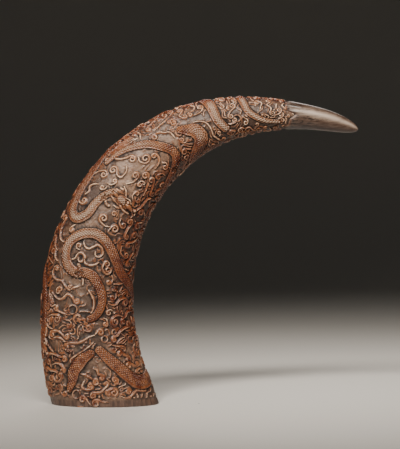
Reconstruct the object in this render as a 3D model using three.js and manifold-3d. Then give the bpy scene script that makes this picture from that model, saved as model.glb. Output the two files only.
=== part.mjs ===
// Carved buffalo horn: one hollow horn, cut flat at its mouth and standing on it.
// Dragons winding among curled clouds are carved in relief round the whole horn, between
// a plain band at the foot and a plain polished tip. Millimetres, +Z up. The origin is on
// the ground at the middle of the horn's footprint, and the horn bends in the XZ plane,
// its tip towards +X.
import * as THREE from "three";
import { mergeVertices } from "three/addons/utils/BufferGeometryUtils.js";
import Module from "manifold-3d";

const wasm = await Module();
wasm.setup();

// Driving dimensions of the horn. Along it, 0 is the mouth and 1 is the tip. Its centreline
// starts at START (x and z), just below the ground, because the ground cuts it off.
const LENGTH = 504;
const START = [-95.4, -4.6];
const HEADING = [[0, 112], [0.1, 101], [0.2, 91], [0.35, 72], [0.5, 50], [0.65, 25], [0.8, 2],
  [0.9, -8.5], [1, -20.5]];
const HALF_WIDTH = [[0, 54.6], [0.15, 50], [0.3, 46], [0.45, 40], [0.6, 31.8], [0.75, 21.8],
  [0.85, 15.7], [0.93, 12], [1, 8.8]];
const DEPTH_AT_MOUTH = 0.7;
const DEPTH_AT_TIP = 0.96;
const ROUND_FROM = 0.8;
const TIP_BLUNTNESS = 24;

// The hollow of the horn: its wall at the mouth, and how far up it reaches.
const WALL = 9;
const HOLLOW_TO = 0.45;

// The carving: how deep its field lies below the horn's own surface, and where it stops.
const FIELD_DEPTH = 2.3;
const TIP_DEPTH = 0.8;
const FOOT_DEPTH = 2.2;
const FOOT_HEIGHT = 11;
const CARVED_TO = 428;
const ROOT_DEPTH = 1.6;

// Dragon bodies, each a list of places on the horn: millimetres along it from the mouth,
// and degrees round it, where 0 faces the viewer, 90 is the outer bend and -90 the inner.
const DRAGONS = [
  { width: 10, places: [[226, -16], [231, -3], [227, 9], [219, 17], [209, 22], [199, 25], [192, 34],
    [191, 45], [197, 56], [209, 61], [224, 64], [240, 70], [254, 80], [264, 96], [264, 114],
    [254, 128], [241, 138], [230, 152], [226, 168], [232, 184]] },
  { width: 10, places: [[86, -25], [97, -27], [109, -27], [122, -25], [134, -19], [142, -9], [141, 4],
    [140, 16], [146, 29], [157, 37], [168, 36], [177, 25], [182, 12], [183, -1], [179, -14],
    [171, -26], [160, -37], [148, -48], [139, -62], [130, -78], [118, -92], [112, -108]] },
  { width: 10, places: [[18, 38], [29, 32], [41, 26], [51, 18], [58, 8], [61, -2]] },
  { width: 11, places: [[62, -13], [56, -20], [46, -28], [35, -36], [26, -45], [19, -56], [18, -72],
    [22, -88]] },
  { width: 9, places: [[246, 50], [258, 46], [268, 39], [277, 29], [285, 18], [291, 6], [297, -5],
    [301, -17], [301, -31], [296, -44], [287, -56], [275, -66], [262, -78], [252, -92]] },
  { width: 13, places: [[318, 14], [324, 6], [331, -2], [337, -12], [340, -24], [337, -38], [328, -52],
    [318, -68], [314, -88]] },
  { width: 12, places: [[364, -28], [360, -12], [357, 4], [356, 20], [355, 40], [353, 62], [350, 86],
    [348, 112], [354, 138], [364, 160], [368, 184], [360, 208], [352, 232]] },
  { width: 8, places: [[421, -31], [412, -28], [403, -20], [396, -7], [390, 8], [387, 26], [385, 48],
    [383, 74], [384, 104], [392, 134], [402, 164], [404, 194], [398, 224], [392, 250], [393, 282]] },
  { width: 10, places: [[84, 66], [95, 63], [107, 62], [119, 66], [130, 75], [140, 88], [144, 104],
    [138, 120], [126, 132], [114, 144], [108, 160], [114, 176], [126, 188], [140, 196], [152, 208],
    [156, 224]] },
  { width: 10, places: [[22, 102], [36, 108], [50, 118], [62, 131], [70, 147], [70, 164], [60, 178],
    [48, 190], [38, 205], [34, 222], [38, 238], [50, 250], [64, 258]] },
  { width: 10, places: [[168, 100], [180, 106], [192, 117], [198, 132], [192, 147], [180, 158],
    [172, 172], [176, 188], [188, 200], [196, 214], [192, 230], [180, 241], [168, 250], [160, 264]] },
  { width: 9, places: [[262, 226], [252, 214], [256, 200], [268, 190], [280, 178], [284, 162],
    [278, 146], [280, 130], [290, 116], [302, 106], [312, 92], [318, 76]] },
  { width: 9, places: [[300, 250], [312, 240], [322, 226], [324, 208], [316, 192], [318, 174],
    [328, 160], [330, 142], [324, 126]] },
];

// Clouds that are set out by hand: along, round, size of the curl, and which way it opens.
const CLOUDS = [
  [47, 42, 7, 200], [40, 64, 6, 20], [69, 56, 6, 160], [78, 33, 6, 330], [95, 33, 6, 300],
  [116, 33, 6, 0], [129, 36, 5.5, 180], [62, 31, 5, 90], [33, -7, 6.5, 90], [22, 9, 5.5, 300],
  [19, -20, 6, 60], [48, -48, 5, 180], [76, -23, 5, 40],
  [75, -56, 6, 330], [90, -43, 6.5, 120], [112, -55, 6, 60], [105, 11, 5.5, 180],
  [75, 8, 5, 60], [132, -47, 5, 0], [157, 15, 6, 30], [164, -5, 5.5, 200], [175, 46, 5.5, 300],
  [207, 43, 5.5, 330], [204, 3, 5.5, 140], [196, -21, 5.5, 0], [214, -42, 6, 30], [234, 38, 5.5, 90],
  [263, 20, 5, 200], [272, -11, 5.5, 20], [256, -6, 5, 60], [188, -52, 6, 90],
  [238, -38, 6, 200], [257, -32, 5.5, 300], [310, 34, 5, 30], [373, -18, 5, 60],
  [374, 14, 5, 200], [334, 48, 5.5, 0], [408, 24, 4.5, 90],
];
const FILL_TRIES = 900;
const LARGEST_FILL = 10;
const SMALLEST_FILL = 7.5;
const CLEARANCE = 1.5;

// How finely the faceted solids are made.
const SIDES = 24;
const RING_STEP = 22;
const BODY_STEP = 11;
const CURL_STEPS = 3;
const PUFF_SIDES = 5;

// A smooth value from a table of places along the horn (cubic between its rows).
function along(table, t) {
  const last = table.length - 1;
  const slope = (i) => {
    const a = table[Math.max(i - 1, 0)];
    const b = table[Math.min(i + 1, last)];
    return (b[1] - a[1]) / (b[0] - a[0]);
  };
  const at = THREE.MathUtils.clamp(t, table[0][0], table[last][0]);
  let i = 0;
  while (i < last - 1 && at >= table[i + 1][0]) i++;
  const step = table[i + 1][0] - table[i][0];
  const u = (at - table[i][0]) / step;
  return (2 * u ** 3 - 3 * u ** 2 + 1) * table[i][1] + (u ** 3 - 2 * u ** 2 + u) * step * slope(i)
    + (3 * u ** 2 - 2 * u ** 3) * table[i + 1][1] + (u ** 3 - u ** 2) * step * slope(i + 1);
}

// The centreline is walked from the mouth in both directions, turning as HEADING says.
const WALK_STEP = 0.0005;
function walk(direction, steps) {
  const places = [START];
  for (let i = 0; i < steps; i++) {
    const [x, z] = places[i];
    const heading = THREE.MathUtils.degToRad(along(HEADING, direction * (i + 0.5) * WALK_STEP));
    const move = direction * WALK_STEP * LENGTH;
    places.push([x + move * Math.cos(heading), z + move * Math.sin(heading)]);
  }
  return places;
}
const upwards = walk(1, Math.round(1 / WALK_STEP));
const downwards = walk(-1, Math.round(0.2 / WALK_STEP));

function centreAt(t) {
  const places = t < 0 ? downwards : upwards;
  const k = Math.min(Math.abs(t) / WALK_STEP, places.length - 1.001);
  const i = Math.floor(k);
  const u = k - i;
  return [0, 1].map((n) => places[i][n] * (1 - u) + places[i + 1][n] * u);
}

const halfWidth = (t) => along(HALF_WIDTH, t)
  * Math.sqrt(Math.max(0, 1 - THREE.MathUtils.clamp(t, 0, 1) ** TIP_BLUNTNESS));
const depthShare = (t) => THREE.MathUtils.lerp(DEPTH_AT_MOUTH, DEPTH_AT_TIP,
  THREE.MathUtils.clamp(t / ROUND_FROM, 0, 1));

// A point of an oval ring round the centreline, of the given half width and half depth.
function ringPoint(t, angle, wide, deep) {
  const [x, z] = centreAt(t);
  const heading = THREE.MathUtils.degToRad(along(HEADING, t));
  const round = THREE.MathUtils.degToRad(angle);
  const out = wide * Math.sin(round);
  return new THREE.Vector3(x - out * Math.sin(heading), -deep * Math.cos(round), z + out * Math.cos(heading));
}

// The horn's own surface at millimetres along and degrees round, raised by lift.
function surface(distance, angle, lift = 0) {
  const t = distance / LENGTH;
  const wide = halfWidth(t);
  return ringPoint(t, angle, Math.max(wide + lift, 0.01), Math.max(wide * depthShare(t) + lift, 0.01));
}

function outwardNormal(distance, angle) {
  const here = surface(distance, angle);
  const onwards = surface(distance + 0.5, angle).sub(here);
  const round = surface(distance, angle + 0.5).sub(here);
  return onwards.cross(round).normalize().negate();
}

// How deep the horn is cut back: foot band, carved field and plain tip.
function cutDepth(distance, angle) {
  const height = surface(distance, angle).z;
  const pastFoot = THREE.MathUtils.smoothstep(height, FOOT_HEIGHT - 2, FOOT_HEIGHT + 2);
  const pastCarving = THREE.MathUtils.smoothstep(distance, CARVED_TO - 6, CARVED_TO + 6);
  const lower = THREE.MathUtils.lerp(FOOT_DEPTH, FIELD_DEPTH, pastFoot);
  return THREE.MathUtils.lerp(lower, TIP_DEPTH, pastCarving);
}

// A closed skin over a row of rings that all have the same number of points.
function loft(rings) {
  const sides = rings[0].length;
  const points = rings.flat();
  const faces = [];
  for (let i = 0; i + 1 < rings.length; i++) {
    for (let j = 0; j < sides; j++) {
      const a = i * sides + j;
      const b = i * sides + (j + 1) % sides;
      faces.push(a, b, b + sides, a, b + sides, a + sides);
    }
  }
  for (const [first, back] of [[0, true], [(rings.length - 1) * sides, false]]) {
    const middle = new THREE.Vector3();
    for (let j = 0; j < sides; j++) middle.addScaledVector(points[first + j], 1 / sides);
    points.push(middle);
    for (let j = 0; j < sides; j++) {
      const a = first + j;
      const b = first + (j + 1) % sides;
      faces.push(points.length - 1, back ? b : a, back ? a : b);
    }
  }
  const geometry = new THREE.BufferGeometry().setFromPoints(points);
  geometry.setIndex(faces);
  return geometry;
}

function solid(geometry) {
  const merged = mergeVertices(new THREE.BufferGeometry()
    .setAttribute("position", geometry.getAttribute("position"))
    .setIndex(geometry.index), 1e-4);
  const made = new wasm.Manifold(new wasm.Mesh({
    numProp: 3,
    vertProperties: new Float32Array(merged.attributes.position.array),
    triVerts: new Uint32Array(merged.index.array),
  }));
  if (made.volume() > 0) return made;
  const turned = merged.index.array.slice().reverse();
  return new wasm.Manifold(new wasm.Mesh({
    numProp: 3,
    vertProperties: new Float32Array(merged.attributes.position.array),
    triVerts: new Uint32Array(turned),
  }));
}

function ringsAlong(from, to, step, pointAt) {
  const count = Math.ceil((to - from) / step);
  const rings = [];
  for (let i = 0; i <= count; i++) {
    const distance = THREE.MathUtils.lerp(from, to, i / count);
    rings.push(Array.from({ length: SIDES }, (_, j) => pointAt(distance, (360 * j) / SIDES)));
  }
  return rings;
}

// The horn cut back to its field, with rings closer together where the tip rounds off.
function cutBackHorn() {
  const skin = (distance, angle) => surface(distance, angle, -cutDepth(distance, angle));
  return solid(loft([
    ...ringsAlong(-0.1 * LENGTH, 0.94 * LENGTH, RING_STEP, skin),
    ...ringsAlong(0.955 * LENGTH, 0.985 * LENGTH, 5, skin),
    ...ringsAlong(0.99 * LENGTH, 0.9985 * LENGTH, 2.5, skin),
  ]));
}

// The natural hollow: it follows the horn inside its wall and closes in a dome.
function hollow() {
  const end = HOLLOW_TO * LENGTH;
  return solid(loft(ringsAlong(-0.12 * LENGTH, end - 1, 2 * RING_STEP, (distance, angle) => {
    const t = distance / LENGTH;
    const dome = Math.sqrt(1 - Math.max(0, t / HOLLOW_TO) ** 2.2);
    const wide = halfWidth(t);
    return ringPoint(t, angle, (wide - WALL) * dome, (wide * depthShare(t) - WALL) * dome);
  })));
}

// A ridge along a path of places. Its section is in shares of its width and height, and
// what lies below 0 is its root, under the field.
const ROUND_BACK = [[-0.5, -1], [-0.3, 1], [0.3, 1], [0.5, -1]];
const CREST = [[-0.5, -1], [0, 1], [0.5, -1]];
function ridge(path, section, widthAt, heightAt) {
  const rings = path.map(([distance, angle], i) => {
    const before = path[Math.max(i - 1, 0)];
    const after = path[Math.min(i + 1, path.length - 1)];
    const up = outwardNormal(distance, angle);
    const ahead = surface(...after).sub(surface(...before)).normalize();
    const side = new THREE.Vector3().crossVectors(up, ahead).normalize();
    const base = surface(distance, angle, -FIELD_DEPTH);
    const width = widthAt(i / (path.length - 1));
    const height = heightAt(i / (path.length - 1));
    return section.map(([across, share]) => base.clone()
      .addScaledVector(side, across * width)
      .addScaledVector(up, share < 0 ? -ROOT_DEPTH : share * height));
  });
  return solid(loft(rings));
}

// Places at even steps along a smooth line through the given ones.
function smoothPath(places, step) {
  const curve = new THREE.CatmullRomCurve3(places.map(([d, a]) => new THREE.Vector3(d, a, 0)));
  const fine = curve.getPoints(places.length * 12);
  const lengths = [0];
  for (let i = 1; i < fine.length; i++) {
    const gap = surface(fine[i].x, fine[i].y).distanceTo(surface(fine[i - 1].x, fine[i - 1].y));
    lengths.push(lengths[i - 1] + gap);
  }
  const total = lengths[lengths.length - 1];
  const count = Math.max(3, Math.round(total / step));
  return Array.from({ length: count + 1 }, (_, k) => {
    const wanted = (total * k) / count;
    let i = 1;
    while (i < lengths.length - 1 && lengths[i] < wanted) i++;
    const u = (wanted - lengths[i - 1]) / (lengths[i] - lengths[i - 1]);
    return [fine[i - 1].x + u * (fine[i].x - fine[i - 1].x), fine[i - 1].y + u * (fine[i].y - fine[i - 1].y)];
  });
}

const dragonPaths = DRAGONS.map(({ places }) => smoothPath(places, BODY_STEP));

function dragon({ width }, path) {
  const taper = (u) => Math.min(1, 0.35 + 0.65 * Math.min(u, 1 - u) * 7);
  return ridge(path, ROUND_BACK, (u) => width * taper(u), (u) => (FIELD_DEPTH + 0.3) * (0.6 + 0.4 * taper(u)));
}

// A curl is a hook that tightens as it turns: an eddy of cloud with its tail let out.
function curl([distance, angle, size, opens], hand) {
  const here = surface(distance, angle);
  const perAlong = surface(distance + 1, angle).distanceTo(here);
  const perDegree = surface(distance, angle + 1).distanceTo(here);
  const path = Array.from({ length: CURL_STEPS + 1 }, (_, i) => {
    const u = i / CURL_STEPS;
    const reach = size * (u === 0 ? 1 : 0.62);
    const turn = THREE.MathUtils.degToRad(opens + hand * 250 * u);
    return [distance + (reach * Math.sin(turn)) / perAlong, angle + (reach * Math.cos(turn)) / perDegree];
  });
  const width = (u) => size * (0.45 + 0.2 * Math.sin(Math.PI * u));
  return ridge(path, CREST, width, (u) => FIELD_DEPTH * (0.7 + 0.3 * Math.sin(Math.PI * u)));
}

// A puff of cloud is a low rounded lump, a little longer one way.
function puff([distance, angle, size, turned]) {
  const up = outwardNormal(distance, angle);
  const base = surface(distance, angle, -FIELD_DEPTH);
  const ahead = surface(distance + 1, angle).sub(surface(distance - 1, angle)).normalize();
  ahead.applyAxisAngle(up, THREE.MathUtils.degToRad(turned));
  const side = new THREE.Vector3().crossVectors(up, ahead);
  const ring = (reach, raised) => Array.from({ length: PUFF_SIDES }, (_, k) => {
    const turn = (2 * Math.PI * k) / PUFF_SIDES;
    return base.clone()
      .addScaledVector(ahead, reach * Math.cos(turn))
      .addScaledVector(side, 0.75 * reach * Math.sin(turn))
      .addScaledVector(up, raised);
  });
  return solid(loft([ring(size, -ROOT_DEPTH), ring(0.55 * size, 0.85 * FIELD_DEPTH)]));
}

// Smaller clouds fill what is left free, from a fixed even scatter, the largest first.
function fillClouds() {
  const taken = dragonPaths.flatMap((path, k) => path.map(([d, a]) => [surface(d, a), DRAGONS[k].width / 2]));
  CLOUDS.forEach(([d, a, size]) => taken.push([surface(d, a), size]));
  const found = [];
  for (let k = 0; k < FILL_TRIES; k++) {
    const size = THREE.MathUtils.lerp(LARGEST_FILL, SMALLEST_FILL, k / FILL_TRIES);
    const distance = THREE.MathUtils.lerp(8, CARVED_TO - 8, (k * 0.7548776662) % 1);
    const angle = 360 * ((k * 0.569840291) % 1);
    const here = surface(distance, angle);
    if (here.z < FOOT_HEIGHT + size + CLEARANCE) continue;
    if (taken.some(([p, reach]) => p.distanceTo(here) < reach + size + CLEARANCE)) continue;
    taken.push([here, size]);
    found.push([distance, angle, size, (k * 137.5) % 360]);
  }
  return found;
}

function carvedHorn() {
  const raised = DRAGONS.map((body, k) => dragon(body, dragonPaths[k]));
  CLOUDS.forEach((place, k) => raised.push(curl(place, k % 2 ? 1 : -1)));
  fillClouds().forEach((place) => raised.push(puff(place)));
  const whole = raised.reduce((made, piece) => made.add(piece), cutBackHorn());
  const below = new THREE.BoxGeometry(600, 400, 200).translate(0, 0, -100);
  return whole.subtract(hollow()).subtract(solid(below));
}

function geometryOf(made) {
  const mesh = made.getMesh();
  const geometry = new THREE.BufferGeometry();
  geometry.setAttribute("position", new THREE.BufferAttribute(mesh.vertProperties, 3));
  geometry.setIndex(new THREE.BufferAttribute(mesh.triVerts, 1));
  return geometry;
}

const hornBrown = new THREE.MeshStandardMaterial({ color: 0x75513d, roughness: 0.5, metalness: 0 });
const horn = new THREE.Mesh(geometryOf(carvedHorn()), hornBrown);
horn.name = "horn";

const group = new THREE.Group();
group.add(horn);
export default group;
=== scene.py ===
"""A carved buffalo horn, standing on its cut mouth in a small studio.

The horn is one closed skin worked out on a fine grid: how far along the horn, and how far
round it. Dragons, clouds and fine crests are painted on that grid as heights, the skin is
raised by them, and the mesh is thinned where the surface is calm.
"""

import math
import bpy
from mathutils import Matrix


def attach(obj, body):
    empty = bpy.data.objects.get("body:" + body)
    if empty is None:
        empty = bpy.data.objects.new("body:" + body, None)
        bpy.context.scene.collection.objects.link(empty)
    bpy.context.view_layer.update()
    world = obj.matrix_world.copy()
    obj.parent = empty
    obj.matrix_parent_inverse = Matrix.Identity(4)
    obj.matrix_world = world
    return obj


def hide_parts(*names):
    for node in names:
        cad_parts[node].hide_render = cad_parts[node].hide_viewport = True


bl_info = {
    "name": "Carved Buffalo Horn",
    "version": (1, 0, 0),
    "blender": (4, 5, 0),
    "location": "3D Viewport > Sidebar > Horn",
    "description": "Carves a buffalo horn in relief, finishes it, and lights it in a studio",
    "category": "Add Mesh",
}

from functools import partial

import bpy
import numpy as np
from bpy.props import FloatProperty, FloatVectorProperty, IntProperty, PointerProperty
from mathutils import Vector

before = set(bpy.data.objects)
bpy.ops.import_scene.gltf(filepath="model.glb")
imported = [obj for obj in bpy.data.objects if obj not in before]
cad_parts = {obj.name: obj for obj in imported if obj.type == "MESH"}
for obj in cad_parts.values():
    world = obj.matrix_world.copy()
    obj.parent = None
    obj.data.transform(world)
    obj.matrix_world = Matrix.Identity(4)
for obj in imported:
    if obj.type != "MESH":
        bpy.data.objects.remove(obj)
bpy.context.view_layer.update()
MM = 0.001

# The horn's form, in millimetres and degrees. Along it, 0 is the mouth and 1 is the tip.
LENGTH = 504.0
START = (-95.4, -4.6)
HEADING = (
    (0, 112), (0.1, 101), (0.2, 91), (0.35, 72), (0.5, 50), (0.65, 25), (0.8, 2), (0.9, -8.5), (1, -20.5),
)
HALF_WIDTH = (
    (0, 54.6), (0.15, 50), (0.3, 46), (0.45, 40), (0.6, 31.8), (0.75, 21.8), (0.85, 15.7), (0.93, 12),
    (1, 8.8),
)
DEPTH_AT_MOUTH = 0.7
DEPTH_AT_TIP = 0.96
ROUND_FROM = 0.8
TIP_BLUNTNESS = 30
FOOT_BAND = 8.5
HOLLOW_TO = 0.45

# The plain tip starts this much lower than the dragons' backs, and rises to their level.
TIP_STEP = 0.8
# The small carving is drawn for this half width, and is finer where the horn is thinner.
DRAWN_FOR = 46.0
# The grid's rows are even up to this share of the way to the tip, and crowd together past it.
EVEN_TO = 0.975
TIP_ROWS = 25
HOLLOW_ROWS = 26
LAST_ROW = 0.985
# A line over the skin is followed in steps of this many millimetres.
LINE_STEP = 0.7

# Where the carving ends and the plain polished tip starts, round the horn.
CARVING_ENDS = (
    (-130, 434), (-90, 428), (-60, 424), (-45, 431), (-20, 432), (-5, 436), (5, 438), (20, 427),
    (60, 426), (90, 430), (130, 427), (180, 431),
)

# Dragon bodies. Each is a width, the side its belly is on (1 is the left of its way), how it
# tapers from its first end to its last, and the places it passes: millimetres along the horn,
# and degrees round it, where 0 faces the viewer, 90 is the outer bend and -90 the inner.
BODIES = (
    (11.0, 1, (0.5, 1, 1, 0.9, 0.6), ((226, -16), (231, -3), (227, 9), (219, 17), (209, 22), (199, 25),
     (192, 34), (191, 45), (197, 56), (209, 61), (224, 64), (240, 70), (254, 80), (264, 96), (264, 114),
     (254, 128), (241, 138), (230, 152), (226, 168), (232, 184))),
    (10.5, -1, (0.7, 1, 1, 1, 1, 1), ((96, -5), (99, -13), (106, -19), (114, -22), (123, -21), (133, -15),
     (141, -6), (143, 5), (142, 16), (147, 28), (157, 36), (168, 35), (177, 24), (182, 11), (183, -1),
     (179, -14), (171, -26), (160, -37), (148, -48), (139, -62), (130, -78), (118, -92), (112, -108))),
    (13.0, -1, (0.4, 0.9, 1, 0.65), ((30, 32), (34, 28.5), (38, 25), (46, 21), (53, 13), (58, 5),
     (61, -3))),
    (12.0, -1, (0.7, 1, 1.1, 1.3, 1.3), ((64, -13), (58, -18), (52, -23), (46, -28), (40, -33), (33, -38),
     (27, -43), (20, -49), (16, -57), (15, -70), (19, -88))),
    (9.0, -1, (0.5, 1, 1, 1), ((246, 50), (258, 46), (268, 39), (277, 30), (286, 19), (292, 6), (297, -5),
     (301, -17), (301, -31), (296, -44), (287, -56), (275, -66), (262, -78), (252, -92))),
    (15.0, -1, (0.5, 1, 1, 0.8, 0.6), ((318, 12), (325, 4), (331, -3), (334, -13), (335, -24), (332, -38),
     (324, -52), (316, -68), (314, -88))),
    (12.0, 1, (0.7, 1, 1, 1), ((364, -28), (360, -12), (357, 4), (356, 20), (355, 40), (353, 62),
     (350, 86), (348, 112), (354, 138), (364, 160), (368, 184), (360, 208), (352, 232))),
    (8.5, 1, (0.5, 1, 1, 0.6), ((421, -31), (412, -28), (403, -20), (396, -7), (390, 8), (387, 26),
     (385, 48), (383, 74), (384, 104), (392, 134), (402, 164), (404, 194), (398, 224), (392, 250),
     (393, 282))),
    (10.0, 1, (0.5, 1, 1, 0.6), ((84, 66), (95, 63), (107, 62), (119, 66), (130, 75), (140, 88),
     (144, 104), (138, 120), (126, 132), (114, 144), (108, 160), (114, 176), (126, 188), (140, 196),
     (152, 208), (156, 224))),
    (10.0, -1, (0.5, 1, 1, 0.6), ((22, 102), (36, 108), (50, 118), (62, 131), (70, 147), (70, 164),
     (60, 178), (48, 190), (38, 205), (34, 222), (38, 238), (50, 250), (64, 258))),
    (10.0, 1, (0.5, 1, 1, 0.6), ((168, 100), (180, 106), (192, 117), (198, 132), (192, 147), (180, 158),
     (172, 172), (176, 188), (188, 200), (196, 214), (192, 230), (180, 241), (168, 250), (160, 264))),
    (9.0, -1, (0.5, 1, 1, 0.6), ((262, 226), (252, 214), (256, 200), (268, 190), (280, 178), (284, 162),
     (278, 146), (280, 130), (290, 116), (302, 106), (312, 92), (318, 76))),
    (9.0, 1, (0.5, 1, 1, 0.6), ((300, 250), (312, 240), (322, 226), (324, 208), (316, 192), (318, 174),
     (328, 160), (330, 142), (324, 126))),
)

# Dragon heads: where the neck ends, which way the head looks (0 towards the tip, 90 towards
# the outer bend), its size, and which side its jaw is on.
HEADS = (
    (224, -17, 250, 1.05, 1), (76, 66, 190, 1.0, 1), (62, 264, 60, 1.2, -1), (156, 232, 60, 1.2, 1), (330,
    118, 350, 1.0, 1), (298, 258, 200, 1.1, -1), (234, 192, 60, 1.1, 1),
)

# Legs: where each starts, which way it reaches, and its size.
CLAWS = (
    (150, 14, 200, 0.8), (214, 2, 60, 0.8), (66, 20, 60, 0.8), (128, -36, 250, 0.8), (262, 88, 30, 0.9),
    (140, 112, 70, 0.9), (60, 170, 20, 0.9), (196, 146, 30, 0.9), (170, 180, 200, 0.9), (322, 200, 60,
    0.8), (36, 226, 200, 0.9), (118, 188, 200, 0.9), (284, 150, 300, 0.8), (300, -46, 200, 0.8),
)

# Cloud wisps: the places of the line, and the curl at its first and last end, in
# millimetres of radius. A positive curl turns left as it leaves the line.
WISPS = (
    (((43, 13), (41, 8), (37, 3), (33, -1)), 0, 0), (((36, 10), (31, 15), (27, 12), (26, 6)), 0, 3.5),
    (((22, 4), (20, -3), (22, -9), (25, -14)), 3, 3), (((34, -4), (31, -9), (32, -14), (28, -18)), 3, 0),
    (((46, -3), (43, -7), (39, -7), (37, -11)), 0, -3), (((20, 15), (15, 13), (11, 11)), 3, 0), (((14, 3),
    (10, -3), (8, -8)), 3.5, 0), (((20, -12), (20, -18)), 3, -4.5), (((9, -24), (5, -28), (4, -33),
    (6, -39), (8, -45), (6, -52), (4, -58)), 0, 3), (((12, 20), (13, 25)), 0, 4.5), (((56, 50), (57, 43),
    (55, 37), (51, 33)), 0, -3), (((54, 64), (51, 56), (50, 48), (47, 42)), 3, -3.5), (((45, 54),
    (41, 50), (40, 44), (43, 38)), 3, 3), (((62, 62), (66, 53), (65, 44), (62, 36), (62, 31)), 4, -3),
    (((76, 58), (72, 54), (69, 50), (67, 46)), 0, 0), (((79, 48), (80, 40), (79, 32), (76, 28)), -3, 3.5),
    (((73, 26), (74, 19), (73, 11), (75, 3), (78, -4), (79, -10)), 3, 0), (((59, 20), (61, 14), (64, 6),
    (68, -2), (72, -8)), 3, 0), (((80, -11), (84, -15)), 0, -3.5), (((113, -30), (111, -36), (112, -42),
    (117, -48), (119, -57)), 0, -4.5), (((103, -72), (102, -63), (97, -58), (94, -51)), 3, 3),
    (((97, -52), (99, -44), (97, -37)), 0, 5), (((84, -62), (83, -53), (80, -45), (76, -40), (75, -34)),
    3, 3), (((66, -31), (64, -38), (63, -45)), 0, -3.5), (((57, -42), (53, -45), (50, -51)), 3, -3.5),
    (((42, -50), (38, -55), (35, -62)), 3, 3), (((31, -74), (32, -64), (30, -57)), 0, 4), (((105, 40),
    (103, 31), (101, 23)), -3, 0), (((121, 48), (117, 41), (115, 35), (116, 29), (120, 23), (118, 17),
    (113, 13)), 0, 3), (((99, 54), (101, 46), (101, 37)), 0, -4.5), (((86, 46), (86, 38), (83, 31),
    (79, 27)), 3, 3), (((93, 58), (89, 51), (88, 45)), 3.5, 0), (((110, 52), (108, 46), (110, 40)), 3, 0),
    (((98, 4), (101, 9), (97, 14), (92, 11)), 0, 0), (((99, -6), (107, -11), (117, -11), (126, -4)), 0,
    0), (((143, 50), (138, 52), (134, 48), (132, 41), (132, 34), (128, 28), (125, 23)), -3, 3),
    (((125, 19), (127, 14), (129, 8)), 0, 0), (((147, 12), (141, 9), (136, 5), (130, 4)), 0, 0),
    (((172, 15), (168, 11), (167, 5), (170, 0), (173, -5), (171, -11), (166, -14), (162, -11), (162, -6),
    (166, -4)), 0, 0), (((153, 25), (155, 20), (160, 17), (161, 12), (158, 8), (154, 10), (153, 14),
    (156, 16)), 0, 0), (((156, 8), (152, 5), (151, -2), (153, -8), (156, -12)), 0, 0), (((186, 60),
    (179, 62), (171, 58), (167, 50), (167, 42)), 3, 0), (((185, 36), (181, 42)), 0, 3), (((157, 58),
    (151, 53), (149, 47)), 3, 0), (((150, 72), (148, 64), (146, 57)), 3, 0), (((168, 68), (161, 62),
    (158, 53)), 3.5, 0), (((176, -66), (170, -61), (163, -55)), 0, 3), (((161, -78), (157, -72),
    (151, -66), (147, -59), (145, -53)), 0, 3), (((141, -70), (139, -58), (136, -47), (135, -37)), 3, 0),
    (((193, -64), (188, -57), (186, -49)), 0, 3), (((200, -58), (197, -68)), 3, 0), (((208, -42),
    (201, -39), (192, -38)), 3, 3), (((247, -54), (243, -48), (236, -46), (230, -44), (226, -40),
    (217, -39)), 3, 0), (((228, -52), (224, -62)), 3, 0), (((212, -54), (215, -64)), 3, 0), (((190, -12),
    (196, -14)), 0, -4.5), (((195, -12), (194, -5), (196, 3)), 0, -5), (((227, 35), (225, 42), (221, 47),
    (217, 43), (213, 46)), 0, 0), (((210, 55), (205, 50), (204, 43)), 0, 4), (((232, 56), (237, 50),
    (240, 42)), 0, -4.5), (((257, 18), (252, 11), (245, 11), (244, 17), (248, 24)), 0, 4.5), (((250, 56),
    (254, 48), (255, 40), (258, 32), (262, 27), (266, 24)), 3, -4), (((242, -2), (248, -9), (254, -11)),
    0, 4), (((270, 13), (268, 6), (269, 0)), 0, 5.5), (((285, -4), (285, -12), (281, -19), (274, -22)),
    2.5, 0), (((264, -22), (258, -30), (250, -34), (243, -36)), 3.5, 0), (((264, -36), (257, -42),
    (250, -46)), 3, 3), (((264, -62), (258, -55)), 3.5, 3), (((320, 62), (317, 54), (313, 48), (308, 43),
    (303, 40), (297, 36)), 3, 0), (((295, 29), (301, 26), (304, 20), (308, 17), (310, 8), (310, 1)), 3,
    0), (((321, -6), (323, 3), (320, 11)), 0, 4.5), (((330, 14), (338, 12), (344, 5), (347, -6),
    (348, -20), (348, -32), (351, -44), (355, -60)), 0, 3), (((343, -40), (340, -50), (341, -62)), 0, 3),
    (((314, -30), (320, -40), (314, -46)), 3, 0), (((312, -54), (306, -60), (300, -70)), 3, 3),
    (((347, 44), (345, 36), (341, 31), (334, 30)), 3, 0), (((337, 64), (340, 55), (338, 45), (333, 41)),
    0, 3), (((306, 66), (299, 58), (293, 52)), 3, 3), (((284, 58), (285, 48), (283, 39)), 3, 0),
    (((328, 52), (324, 42), (326, 32)), 3, 3), (((374, -16), (368, -17), (363, -14)), 2.5, 2.5),
    (((368, -36), (373, -42), (370, -50)), 3, -3), (((381, -38), (385, -46), (381, -54)), 3, 3),
    (((400, 48), (403, 39), (402, 28), (401, 14)), 2.5, 0), (((411, 46), (408, 34), (412, 20), (411, 6)),
    2.5, 3), (((418, 44), (417, 30), (418, 14)), 0, 0), (((425, 52), (423, 38), (426, 24)), 0, 2.5),
    (((378, 48), (374, 40), (370, 34)), 3, 3), (((376, 26), (372, 18), (369, 8)), 3, 3), (((390, -44),
    (392, -54), (396, -64)), 3, 3), (((424, -10), (420, -20), (422, -29)), 2.5, 2.5), (((406, -2),
    (410, -10), (406, -16)), 2.5, 0), (((422, 8), (419, -1), (413, -6)), 2.5, 0),
)

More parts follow.
